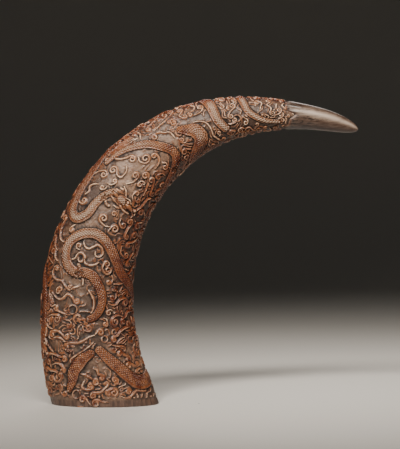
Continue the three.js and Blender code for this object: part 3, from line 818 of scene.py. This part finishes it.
def build_horn(size):
    """The carved horn's points and triangles, and what each point knows of itself."""
    relief = Relief(size)
    relief.carve()
    rows, columns = relief.height.shape
    outside = outer_skin(relief)
    wall = size.wall / MM
    mouth = where_it_meets_the_ground(relief.angle, lambda t, a: hollow_skin(t, a, wall))
    inner_t = mouth[None, :] + (HOLLOW_TO - mouth[None, :]) * np.linspace(0, LAST_ROW, HOLLOW_ROWS)[:, None]
    inside = hollow_skin(inner_t, relief.angle[None, :], wall)
    inside[0, :, 2] = 0
    tip = horn_skin(np.array([1.0]), np.array([0.0]))
    end = hollow_skin(np.array([HOLLOW_TO]), np.array([0.0]), wall)
    points = np.concatenate((outside.reshape(-1, 3), inside.reshape(-1, 3), tip, end)) * MM

    def on_the_skin(field):
        """A field of the carved skin, with nothing on the hollow."""
        return np.concatenate((field.reshape(-1), np.zeros(inner_t.size), (field[-1, 0], 0.0)))

    def everywhere(outer, inner, ends):
        """Fields of the carved skin and of the hollow, and the values at the tip and at the hollow's end."""
        return np.concatenate((outer.reshape(-1), inner.reshape(-1), ends))

    onward = np.gradient(outside, axis=0)
    sideways = np.roll(outside, -1, axis=1) - np.roll(outside, 1, axis=1)
    out = np.cross(onward, sideways)
    out /= np.maximum(np.linalg.norm(out, axis=-1), 1e-9)[..., None]
    cavity, proud = cuts_and_crests(relief.height)
    fields = {
        "out_x": out[..., 0],
        "out_y": out[..., 1],
        "out_z": out[..., 2],
        "raised": relief.height / relief.depth,
        "cavity": cavity,
        "proud": proud,
        "scaled": relief.scaled,
        "belly": relief.belly,
        "lie_along": relief.lie[..., 0],
        "lie_across": relief.lie[..., 1],
        **wear_and_painted_light(relief),
    }
    known = {key: on_the_skin(field) for key, field in fields.items()}
    turn, inner_turn = (np.broadcast_to(relief.angle, t.shape) for t in (relief.t, inner_t))
    known["inside"] = everywhere(np.zeros(relief.t.shape), np.ones(inner_t.shape), (0.0, 1.0))
    known["far"] = everywhere(relief.t, inner_t / HOLLOW_TO, (1.0, 1.0))
    known["side_x"] = everywhere(np.cos(turn), np.cos(inner_turn), (1.0, 1.0))
    known["side_y"] = everywhere(np.sin(turn), np.sin(inner_turn), (0.0, 0.0))
    return points, horn_faces(rows, columns), known


def make_mesh(name, points, faces, known):
    """A mesh from points and triangles, with a float attribute for each thing known of its points."""
    mesh = bpy.data.meshes.new(name)
    mesh.vertices.add(len(points))
    mesh.vertices.foreach_set("co", points.astype(np.float32).ravel())
    mesh.loops.add(faces.size)
    mesh.loops.foreach_set("vertex_index", faces.astype(np.int32).ravel())
    mesh.polygons.add(len(faces))
    mesh.polygons.foreach_set("loop_start", np.arange(0, faces.size, 3, dtype=np.int32))
    mesh.update(calc_edges=True)
    for key, values in known.items():
        mesh.attributes.new(key, "FLOAT", "POINT").data.foreach_set("value", values.astype(np.float32))
    return mesh


def point_values(mesh, key):
    """One float attribute as an array."""
    values = np.empty(len(mesh.vertices), np.float32)
    mesh.attributes[key].data.foreach_get("value", values)
    return values


def keep_shading(mesh):
    """Gives the thinned mesh the full grid's normals on its carved side, and its own elsewhere."""
    out = np.stack([point_values(mesh, key) for key in ("out_x", "out_y", "out_z")], -1)
    own = np.empty(len(mesh.vertices) * 3, np.float32)
    mesh.vertex_normals.foreach_get("vector", own)
    own = own.reshape(-1, 3)
    length = np.linalg.norm(out, axis=1)
    known = (length > 0.5) & ((out * own).sum(axis=1) > 0.3 * length)
    normals = np.where(known[:, None], out / np.maximum(length, 1e-6)[:, None], own)
    mesh.normals_split_custom_set_from_vertices(normals.tolist())
    for key in ("out_x", "out_y", "out_z"):
        mesh.attributes.remove(mesh.attributes[key])


def unroll(mesh):
    """The UV map: u runs along the horn and v round it, the outside below and the hollow in a strip above.

    The corners of a triangle that lies across the seam are kept together by a turn of 360 degrees.
    """
    corners = np.empty(len(mesh.loops), np.int32)
    mesh.loops.foreach_get("vertex_index", corners)
    corners = corners.reshape(-1, 3)
    turn = np.degrees(np.arctan2(point_values(mesh, "side_y"), point_values(mesh, "side_x"))) % 360
    far = point_values(mesh, "far")[corners]
    around = turn[corners]
    across_seam = np.ptp(around, axis=1) > 180
    around[across_seam] += np.where(around[across_seam] < 180, 360, 0)
    within = point_values(mesh, "inside")[corners]
    lining = within.max(axis=1) > 0.5
    u = 0.012 + 0.97 * np.clip(far, 0, 1)
    v = 0.005 + 0.86 * around / 362
    u[lining] = 0.012 + np.where(within[lining] > 0.5, 0.04 + 0.93 * np.clip(far[lining], 0, 1), 0.0)
    v[lining] = 0.88 + 0.11 * around[lining] / 362
    layer = mesh.uv_layers.new(name="OFBake")
    layer.data.foreach_set("uv", np.stack((u, v), -1).astype(np.float32).ravel())


def rgba(colour):
    """A socket as it is, and a colour with its alpha."""
    return colour if isinstance(colour, bpy.types.NodeSocket) else (*colour, 1.0)


def add_node(tree, kind, inputs=None, out=0, **settings):
    """Adds a shader node with its settings and links, and gives the output that is asked for."""
    made = tree.nodes.new("ShaderNode" + kind)
    for name, value in settings.items():
        setattr(made, name, value)
    for name, value in (inputs or {}).items():
        if isinstance(value, bpy.types.NodeSocket):
            tree.links.new(value, made.inputs[name])
        else:
            made.inputs[name].default_value = value
    return made.outputs[out] if len(made.outputs) else None


def lay_coats(add, under, coats):
    """Lays coats over a colour in turn: each is a colour, and masks whose product is how much it covers."""
    for over, cover, *masks in coats:
        for mask in masks:
            cover = add("Math", {0: cover, 1: mask}, operation="MULTIPLY")
        sockets = {0: cover, 6: rgba(under), 7: rgba(over)}
        under = add("Mix", sockets, out=2, data_type="RGBA", clamp_factor=True)
    return under


# Grain by the real size: its millimetres, its detail and roughness, and which way it is drawn out.
GRAINS = {
    "patches": (40, 3, 0.55, "even"),
    "mottle": (3.2, 5, 0.7, "even"),
    "soot": (9, 3, 0.55, "even"),
    "orange": (9, 5, 0.65, "even"),
    "rubbing": (5, 5, 0.7, "even"),
    "dirt_and_shade": (5, 3, 0.55, "even"),
    "satin": (3, 3, 0.55, "even"),
    "tool marks": (1.7, 5, 0.65, "even"),
    "growth": (4, 5, 0.7, "far along the tip"),
    "scratches": (2.2, 4, 0.6, "along the tip"),
    "fibres": (3.5, 4, 0.6, "upright"),
}
DRAWN_OUT = {
    "even": (1.0, 1.0, 1.0),
    "far along the tip": (0.14, 1.0, 1.0),
    "along the tip": (0.35, 1.0, 1.0),
    "upright": (1.0, 1.0, 0.1),
}
SKIN_FIELDS = ("raised", "cavity", "proud", "plain", "reach", "sooty", "scaled", "belly", "handled", "shaded",
               "lie_along", "lie_across", "inside")


def punched_scales(add, known, pitch):
    """Punch marks between the scales: |sin(pi u)*sin(pi v)|, with u and v at 45 degrees to the body."""
    waves = []
    for operation in ("ADD", "SUBTRACT"):
        crossing = add("Math", {0: known["lie_along"], 1: known["lie_across"]}, operation=operation)
        turned = add("Math", {0: crossing, 1: math.pi / (1.414 * pitch)}, operation="MULTIPLY")
        waves.append(add("Math", {0: turned}, operation="SINE"))
    both = add("Math", {0: waves[0], 1: waves[1]}, operation="MULTIPLY")
    return add("Math", {0: both}, operation="ABSOLUTE")


def carved_horn_material(finish, size):
    """Buffalo horn, carved by hand, stained and rubbed.

    Keratin is a warm satin with soft highlights. Dirt and painted shade darken the cuts and the ground
    beside tall relief, rubbing and painted highlights make the high places pale, painted shade darkens the
    sides and the tip's underside, a painted highlight band lies along the tip, and the tip is polished.
    """
    material = bpy.data.materials.new("Carved stained buffalo horn")
    material.use_nodes = True
    tree = material.node_tree
    tree.nodes.clear()
    add = partial(add_node, tree)
    known = {key: add("Attribute", out="Fac", attribute_name=key) for key in SKIN_FIELDS}
    place = add("TexCoord", out="Object")
    height = add("SeparateXYZ", {0: place}, out="Z")
    drawn = {key: add("Mapping", {"Vector": place, "Scale": scale}) for key, scale in DRAWN_OUT.items()}
    grain = {}
    for key, (wide, detail, roughness, way) in GRAINS.items():
        inputs = {"Vector": drawn[way], "Scale": 1 / (wide * MM), "Detail": detail, "Roughness": roughness}
        grain[key] = add("TexNoise", inputs)
    punch = punched_scales(add, known, size.scale_pitch / MM)

    # Each mask goes from its third number to its fourth as what it reads rises from its first to its second.
    rises = {
        "relief": (known["raised"], 0.12, 0.45, 0.0, 1.0),
        "crown": (known["raised"], 0.72, 1.03, 0.0, 1.0),
        "proud": (known["proud"], 0.3, 0.8, 0.0, 1.0),
        "cut": (known["cavity"], 0.1, 1.0, 0.0, 1.0),
        # open and half open thin out the pale and orange patches where painted shade darkens the sides.
        "open": (known["shaded"], 0.0, 1.0, 1.0, 0.25),
        "half open": (known["shaded"], 0.0, 1.0, 1.0, 0.35),
        # held and unworn read the worn places, which take in the painted lit front and the tip's painted
        # highlight.
        "held": (known["handled"], 0.2, 0.8, 0.0, 0.85),
        "unworn_unlit": (known["handled"], 0.2, 0.9, 0.9, 0.45),
        "punched": (punch, 0.35, 0.95, 0.0, 1.0),
        "patches": (grain["patches"], 0.35, 0.65, 0.0, 1.0),
        "mottle": (grain["mottle"], 0.36, 0.62, 0.0, 1.0),
        "soot": (grain["soot"], 0.35, 0.6, 0.35, 1.0),
        "orange": (grain["orange"], 0.36, 0.6, 0.0, 1.0),
        "rubbing": (grain["rubbing"], 0.38, 0.6, 0.15, 0.75),
        "dirt_and_shade": (grain["dirt_and_shade"], 0.2, 0.6, 0.8, 1.0),
        "satin": (grain["satin"], 0.3, 0.7, 0.4, 0.55),
        "streaks": (grain["growth"], 0.34, 0.64, 0.0, 1.0),
        "scratches": (grain["scratches"], 0.5, 0.58, 0.0, 1.0),
        "fibres": (grain["fibres"], 0.35, 0.65, 0.0, 1.0),
        "scratched": (known["reach"], 0.3, 1.0, 0.8, 0.15),
        "carving's edge": (known["reach"], 0.0, 0.08, 0.5, 0.0),
        "polished": (known["reach"], 0.0, 0.2, 0.6, 0.34),
        "foot": (height, FOOT_BAND * MM, (FOOT_BAND - 3) * MM, 0.0, 1.0),
        "tool marks": (known["plain"], 0.0, 1.0, 0.5, 0.12),
    }
    mask = {}
    for key, row in rises.items():
        mask[key] = add("MapRange", dict(enumerate(row)), interpolation_type="SMOOTHSTEP")
    pale = add("MapRange", {0: mask["streaks"], 3: 0.7, 4: 1.0}, interpolation_type="SMOOTHSTEP")
    stain_and_painted_shade = add("Math", {0: known["shaded"], 1: 0.4}, operation="ADD")
    # The pale on proud places follows wear and painted light: where the horn is held and on the lit front.
    rubbing = {0: known["handled"], 1: 0.55, 2: mask["rubbing"]}
    rubbed = add("Math", rubbing, operation="MULTIPLY_ADD", use_clamp=True)
    clear_of_wear_and_light = add("Math", {0: 1.0, 1: known["handled"]}, operation="SUBTRACT")
    ground = add("Math", {0: 1.0, 1: mask["relief"]}, operation="SUBTRACT", use_clamp=True)
    spine = add("Math", {0: 1.0, 1: known["belly"]}, operation="SUBTRACT")
    scaly = add("Math", {0: known["scaled"], 1: spine}, operation="MULTIPLY")
    back = add("Math", {0: scaly, 1: mask["relief"]}, operation="MULTIPLY")
    # Dirt and painted shade: the cuts and the ground beside tall relief are painted dark.
    dirt_and_shade = add("Math", {0: mask["cut"], 1: mask["dirt_and_shade"]}, operation="MULTIPLY")

    # The field: taupe keratin, greyer in patches that thin out in the painted shade of the sides, a mottled
    # red stain that is thicker on the sides as painted shade, and sooty over the foot.
    field = lay_coats(add, finish.field_dark, (
        (finish.field_pale, mask["patches"], mask["open"]),
        (finish.stain_and_shade, stain_and_painted_shade, mask["mottle"]),
        (finish.soot, known["sooty"], mask["soot"]),
    ))
    # The relief: red-brown stain, rubbed to orange in patches that thin out in the painted shade of the
    # sides, browner where it is held and where the front is painted as lit, and pale on what stands proud,
    # which is partly wear and partly painted highlight.
    relief = lay_coats(add, finish.relief_red, (
        (finish.relief_orange, mask["orange"], mask["half open"]),
        (finish.relief_held_and_lit, known["handled"], 0.6),
        (finish.worn_and_highlight, mask["proud"], rubbed),
    ))
    # Dragon backs are pale on their crowns where the horn is held and where the front is painted as lit,
    # bellies stay brown, and dark punch marks part the scales, fainter there.
    carving = lay_coats(add, field, (
        (relief, mask["relief"]),
        (finish.back, back, mask["crown"], mask["held"]),
        (finish.relief_red, known["belly"], 0.3),
        (finish.stain_and_shade, mask["punched"], back, mask["unworn_unlit"]),
    ))
    # Painted shade: the sides are painted redder and darker.
    painted_side_shade = {0: known["shaded"], 6: carving, 7: rgba(finish.painted_side_shade)}
    side_shaded = add("Mix", painted_side_shade, out=2, data_type="RGBA", blend_type="MULTIPLY", clamp_factor=True)
    # The tip is plain and smoky: painted shade darkens its underside, a painted highlight band lies along its
    # upper side, it is streaked by its growth, and it is scratched and darker where the carving ends.
    tip = lay_coats(add, finish.tip_dark, (
        (finish.tip_streaks_and_highlight, mask["streaks"], 0.3),
        (finish.tip_streaks_and_highlight, known["handled"], pale),
        (finish.stain_and_shade, known["shaded"], 0.6),
        (finish.dirt_and_shade, mask["scratches"], mask["scratched"], clear_of_wear_and_light),
        (finish.stain_and_shade, mask["carving's edge"]),
    ))
    # The foot band shows the fibres of the horn, dark and upright.
    band = lay_coats(add, finish.foot_dark, ((finish.foot_pale, mask["fibres"]),))
    colour = lay_coats(add, side_shaded, (
        (finish.dirt_and_shade, dirt_and_shade),
        (tip, known["plain"]),
        (band, mask["foot"], ground),
        (finish.hollow, known["inside"]),
    ))

    # Tool marks all over the carving, too fine to be cut in the mesh, and faint on the polished tip.
    marks = add("Bump", {"Height": grain["tool marks"], "Strength": mask["tool marks"], "Distance": 0.8 * MM})
    pits = add("Bump", {"Height": punch, "Strength": back, "Distance": -0.6 * MM, "Normal": marks})
    worn_gloss = add("Math", {0: mask["relief"], 1: -0.18, 2: mask["satin"]}, operation="MULTIPLY_ADD")
    gloss = add("Math", {0: dirt_and_shade, 1: 0.25, 2: worn_gloss}, operation="MULTIPLY_ADD")
    roughness = lay_coats(add, gloss, ((mask["polished"], known["plain"]),))
    keratin = {"Base Color": colour, "Roughness": roughness, "IOR": 1.54, "Specular IOR Level": 0.45}
    surface = add("BsdfPrincipled", {**keratin, "Normal": pits})
    add("OutputMaterial", {"Surface": surface})
    return material


def length(name, description, default):
    """A size in metres that a user may change."""
    return FloatProperty(name=name, description=description, default=default, unit="LENGTH")


def tint(name, description, code):
    """A colour that a user may change, from its sRGB hex code."""
    return FloatVectorProperty(name=name, description=description, subtype="COLOR", default=linear(code))


def power(name, description, watts):
    """A lamp's power that a user may change."""
    return FloatProperty(name=name, description=description, default=watts, unit="POWER")


class HornSize(bpy.types.PropertyGroup):
    """Sizes of the carving and how finely it is made."""

    relief_depth: length("Relief depth", "How far the field is cut back below the dragons' backs", 2.2 * MM)
    scale_pitch: length("Scale pitch", "From one dragon scale to the next", 2.1 * MM)
    wall: length("Wall", "Thickness of the horn at its mouth", 9 * MM)
    rows: IntProperty(name="Rows", description="Steps of the grid along the horn", default=800)
    columns: IntProperty(name="Columns", description="Steps of the grid round the horn", default=440)
    triangles: IntProperty(name="Triangles", description="How many triangles are kept", default=190000)


class HornFinish(bpy.types.PropertyGroup):
    """Colours of the horn, from its bare field to its worn edges."""

    field_dark: tint("Field, dark", "The cut-back ground where it is brown", "4b392e")
    field_pale: tint("Field, pale", "The cut-back ground where it is grey", "927560")
    # Stain, and also painted shade on the sides and on the tip's underside.
    stain_and_shade: tint("Stain", "Stain that is left on the field and between scales", "34150b")
    soot: tint("Soot", "Grey-black patches of the field over the foot", "2b2521")
    # Painted shade: a red darkening multiplied over both sides.
    painted_side_shade: tint("Wash", "Red stain that tints both sides", "ffebe0")
    relief_red: tint("Relief, red", "Stained relief", "5a2410")
    relief_orange: tint("Relief, orange", "Relief that is rubbed a little", "97603d")
    # Worn relief where the horn is held, and painted light on the front.
    relief_held_and_lit: tint("Relief, brown", "Relief where the horn is held", "8c6549")
    # Pale worn horn on the high places, and painted highlight on their crests.
    worn_and_highlight: tint("Worn edges", "Bare pale horn on the high places", "efd2b4")
    # Pale where the horn is held, and partly painted light on the front.
    back: tint("Dragon backs", "Backs of the dragons where the horn is held", "ae9580")
    # Dirt, and painted shade in the cuts and beside tall relief.
    dirt_and_shade: tint("Cuts", "Dark dirt at the bottom of the cuts", "100604")
    tip_dark: tint("Tip, dark", "Polished tip", "3f2c21")
    # Pale growth streaks, and also a painted highlight band along the tip.
    tip_streaks_and_highlight: tint("Tip, pale", "Pale streaks of the tip", "ad9a8a")
    foot_dark: tint("Foot, dark", "Plain band at the mouth", "43322a")
    foot_pale: tint("Foot, pale", "Pale fibres of the band", "6b5245")
    hollow: tint("Hollow", "Bare inside of the horn", "8a7358")


class HornStudio(bpy.types.PropertyGroup):
    """The floor, lights and camera."""

    floor: tint("Floor", "Colour of the floor and backdrop", "d9d6d0")
    distance: length("Camera distance", "From the camera to the middle of the horn", 1.8)
    key: power("Key light", "Power of the soft box at the upper left", 2.2)
    strip: power("Strip light", "Power of the long soft box over the camera", 2.0)
    back: power("Back light", "Power of the soft box behind the horn", 1.5)
    air: FloatProperty(name="Air", description="How bright the even light from all round is", default=0.045)


# Soft boxes, in metres: where each stands, what it looks at, and how wide and tall it is. Each throws its
# light in a cone of so many degrees, a little warm.
BOXES = {
    "key": ((-0.5, -1.3, 1.3), (0.09, 0.0, 0.26), (0.35, 0.35)),
    "strip": ((0.25, -1.3, 1.5), (0.09, 0.0, 0.26), (1.3, 0.4)),
    "back": ((0.0, 1.7, 1.2), (0.0, 0.0, 0.17), (1.8, 0.8)),
}
BOX_CONE = 38
WARM_LIGHT = (1.0, 0.93, 0.85)

# The backdrop is a round cove: a flat floor, a quarter circle and a wall.
FLOOR_RADIUS = 2.3
COVE_RADIUS = 0.7
WALL_HEIGHT = 3.4
COVE_SIDES = 64

# The camera: what it looks at, how high it stands, how wide its frame is there, and its sensor in
# millimetres.
AIM = (0.0012, 0.0, 0.1842)
EYE_HEIGHT = 0.213
FRAME_WIDTH = 0.4109
SENSOR = 36.0


def look_at(thing, place, target):
    """Puts a lamp or a camera at a place and turns it to its target."""
    thing.location = place
    thing.rotation_euler = (Vector(target) - Vector(place)).to_track_quat("-Z", "Y").to_euler()


class MESH_OT_carved_horn_add(bpy.types.Operator):
    """Adds the carved horn in place of its plain solid"""

    bl_idname = "mesh.carved_horn_add"
    bl_label = "Carved Horn"

    def execute(self, context):
        size, finish = context.scene.horn_size, context.scene.horn_finish
        points, faces, known = build_horn(size)
        mesh = make_mesh("carved_horn", points, faces, known)
        horn = bpy.data.objects.new("carved_horn", mesh)
        context.collection.objects.link(horn)
        context.view_layer.objects.active = horn
        thin = horn.modifiers.new("Thin", "DECIMATE")
        thin.ratio = min(1.0, size.triangles / len(faces))
        bpy.ops.object.modifier_apply(modifier=thin.name)
        mesh = horn.data
        mesh.shade_smooth()
        keep_shading(mesh)
        unroll(mesh)
        mesh.materials.append(carved_horn_material(finish, size))
        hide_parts("horn")
        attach(horn, "root")
        return {"FINISHED"}


class SCENE_OT_horn_studio_add(bpy.types.Operator):
    """Adds the floor with its backdrop, the lights and the camera"""

    bl_idname = "scene.horn_studio_add"
    bl_label = "Studio"

    def execute(self, context):
        studio = context.scene.horn_studio
        floor = bpy.data.objects.new("floor", self.cove())
        context.collection.objects.link(floor)
        floor.data.materials.append(self.paper(studio))
        for name, (place, target, size) in BOXES.items():
            self.soft_box(context, name, place, target, size, getattr(studio, name))
        world = bpy.data.worlds.new("Studio air")
        world.use_nodes = True
        background = world.node_tree.nodes["Background"]
        background.inputs["Color"].default_value = (1, 1, 1, 1)
        background.inputs["Strength"].default_value = studio.air
        context.scene.world = world
        self.camera(context, studio)
        return {"FINISHED"}

    def cove(self):
        """The cove: r = flat + bend*sin(turn) and z = bend - bend*cos(turn), turned round the upright."""
        bend = np.linspace(0, math.pi / 2, 16)
        curve = FLOOR_RADIUS + COVE_RADIUS * np.sin(bend)
        radius = np.concatenate(([MM, 1.0], curve, [FLOOR_RADIUS + COVE_RADIUS]))
        height = np.concatenate(([0.0, 0.0], COVE_RADIUS - COVE_RADIUS * np.cos(bend), [WALL_HEIGHT]))
        turn = np.linspace(0, 2 * math.pi, COVE_SIDES, endpoint=False)[:, None]
        points = np.stack(np.broadcast_arrays(radius * np.cos(turn), radius * np.sin(turn), height), -1)
        i, j = np.meshgrid(np.arange(COVE_SIDES), np.arange(len(radius) - 1), indexing="ij")
        a = i * len(radius) + j
        b = (i + 1) % COVE_SIDES * len(radius) + j
        faces = np.stack((a, a + 1, b + 1, b), -1).reshape(-1, 4)
        mesh = bpy.data.meshes.new("floor")
        mesh.from_pydata(points.reshape(-1, 3).tolist(), [], faces.tolist())
        mesh.shade_smooth()
        return mesh

    def paper(self, studio):
        """Matt seamless paper, with almost no gloss."""
        material = bpy.data.materials.new("Matt backdrop paper")
        material.use_nodes = True
        shader = material.node_tree.nodes["Principled BSDF"]
        shader.inputs["Base Color"].default_value = rgba(studio.floor)
        shader.inputs["Roughness"].default_value = 0.9
        shader.inputs["Specular IOR Level"].default_value = 0.2
        return material

    def soft_box(self, context, name, place, target, size, watts):
        """A soft box, so wide and so tall, that looks at a point."""
        data = bpy.data.lights.new(name, "AREA")
        data.shape = "RECTANGLE"
        data.size, data.size_y = size
        data.energy = watts
        data.color = WARM_LIGHT
        data.spread = math.radians(BOX_CONE)
        lamp = bpy.data.objects.new(name, data)
        look_at(lamp, place, target)
        context.collection.objects.link(lamp)

    def camera(self, context, studio):
        """A long lens, sensor*distance/frame, a little over half the horn's height from the ground."""
        data = bpy.data.cameras.new("camera")
        data.sensor_fit = "HORIZONTAL"
        data.sensor_width = SENSOR
        data.lens = SENSOR * studio.distance / FRAME_WIDTH
        eye = bpy.data.objects.new("camera", data)
        look_at(eye, (AIM[0], -studio.distance, EYE_HEIGHT), AIM)
        context.collection.objects.link(eye)
        context.scene.camera = eye


class VIEW3D_PT_carved_horn(bpy.types.Panel):
    """Lists the horn's sizes and colours and the operators that make it"""

    bl_idname = "VIEW3D_PT_carved_horn"
    bl_label = "Carved Horn"
    bl_space_type = "VIEW_3D"
    bl_region_type = "UI"
    bl_category = "Horn"

    def draw(self, context):
        scene = context.scene
        for settings in (scene.horn_size, scene.horn_finish, scene.horn_studio):
            box = self.layout.box()
            for name in settings.__annotations__:
                box.prop(settings, name)
        self.layout.operator(MESH_OT_carved_horn_add.bl_idname)
        self.layout.operator(SCENE_OT_horn_studio_add.bl_idname)


CLASSES = (
    HornSize,
    HornFinish,
    HornStudio,
    MESH_OT_carved_horn_add,
    SCENE_OT_horn_studio_add,
    VIEW3D_PT_carved_horn,
)


def register():
    """Registers the classes and hangs the settings on the scene."""
    for kind in CLASSES:
        bpy.utils.register_class(kind)
    bpy.types.Scene.horn_size = PointerProperty(type=HornSize)
    bpy.types.Scene.horn_finish = PointerProperty(type=HornFinish)
    bpy.types.Scene.horn_studio = PointerProperty(type=HornStudio)


def unregister():
    """Takes the settings and the classes away again."""
    del bpy.types.Scene.horn_studio
    del bpy.types.Scene.horn_finish
    del bpy.types.Scene.horn_size
    for kind in reversed(CLASSES):
        bpy.utils.unregister_class(kind)


def main():
    """Builds the stage and the horn."""
    register()
    bpy.ops.scene.horn_studio_add()
    bpy.ops.mesh.carved_horn_add()


if __name__ == "__main__":
    main()
